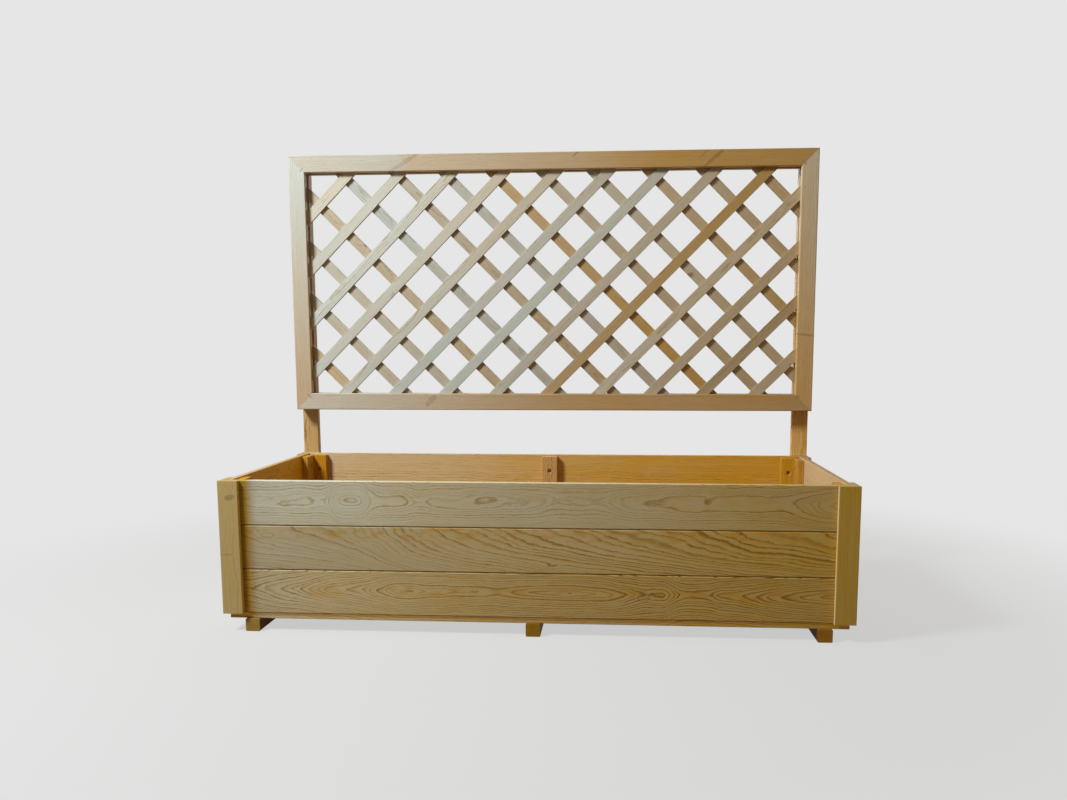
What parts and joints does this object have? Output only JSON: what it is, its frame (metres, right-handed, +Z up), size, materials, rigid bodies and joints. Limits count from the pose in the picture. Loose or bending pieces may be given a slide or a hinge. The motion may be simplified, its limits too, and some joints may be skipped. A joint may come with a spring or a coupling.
{
  "type": "planter with trellis",
  "caption": "Long wooden trough planter of tongue-and-groove boards on bearers, with a framed diagonal lattice trellis carried by two flat posts behind its back wall.",
  "frame": {"origin": "centre of the footprint at ground level, under the bearers", "axes": "+X along the length of the box to the right seen from the front, +Y from the front wall to the trellis, +Z up"},
  "size_m": [1.2, 0.455, 0.9842],
  "materials": {
    "board_wood": "planed untreated pine, yellow-tan",
    "trim_wood": "planed untreated pine, yellow-tan",
    "batten_wood": "planed untreated pine, yellow",
    "floor_wood": "rough sawn pine, brown",
    "frame_wood": "planed untreated pine, pale",
    "slat_wood": "fine sawn pine, tan to grey-green",
    "zinc_steel": "dull zinc plate"
  },
  "bodies": {
    "root": {"back_batten_centre": "batten_wood", "back_batten_left": "batten_wood", "back_batten_right": "batten_wood", "back_board_bottom": "board_wood", "back_board_middle": "board_wood", "back_board_top": "board_wood", "back_slat_left_1": "slat_wood", "back_slat_left_2": "slat_wood", "back_slat_left_3": "slat_wood", "back_slat_left_4": "slat_wood", "back_slat_right_1": "slat_wood", "back_slat_right_2": "slat_wood", "back_slat_right_3": "slat_wood", "back_slat_right_4": "slat_wood", "back_slats_full_length": "slat_wood", "batten_screws": "zinc_steel", "bearer_centre": "floor_wood", "bearer_left": "floor_wood", "bearer_right": "floor_wood", "corner_staples": "zinc_steel", "floor_boards": "floor_wood", "floor_screws": "zinc_steel", "front_battens": "batten_wood", "front_board_bottom": "board_wood", "front_board_middle": "board_wood", "front_board_top": "board_wood", "front_slat_left_1": "slat_wood", "front_slat_left_2": "slat_wood", "front_slat_left_3": "slat_wood", "front_slat_left_4": "slat_wood", "front_slat_right_1": "slat_wood", "front_slat_right_2": "slat_wood", "front_slat_right_3": "slat_wood", "front_slat_right_4": "slat_wood", "front_slats_full_length": "slat_wood", "front_trim_left": "trim_wood", "front_trim_right": "trim_wood", "left_board_bottom": "board_wood", "left_board_middle": "board_wood", "left_board_top": "board_wood", "post_left": "frame_wood", "post_right": "frame_wood", "post_screws": "zinc_steel", "rear_trim_left": "trim_wood", "rear_trim_right": "trim_wood", "right_board_bottom": "board_wood", "right_board_middle": "board_wood", "right_board_top": "board_wood", "side_batten_front_left": "batten_wood", "side_batten_front_right": "batten_wood", "side_batten_rear_left": "batten_wood", "side_batten_rear_right": "batten_wood", "side_trim_front_left": "trim_wood", "side_trim_front_right": "trim_wood", "side_trim_rear_left": "trim_wood", "side_trim_rear_right": "trim_wood", "trellis_bottom_rail": "frame_wood", "trellis_left_stile": "frame_wood", "trellis_right_stile": "frame_wood", "trellis_top_rail": "frame_wood"}
  },
  "joints": []
}
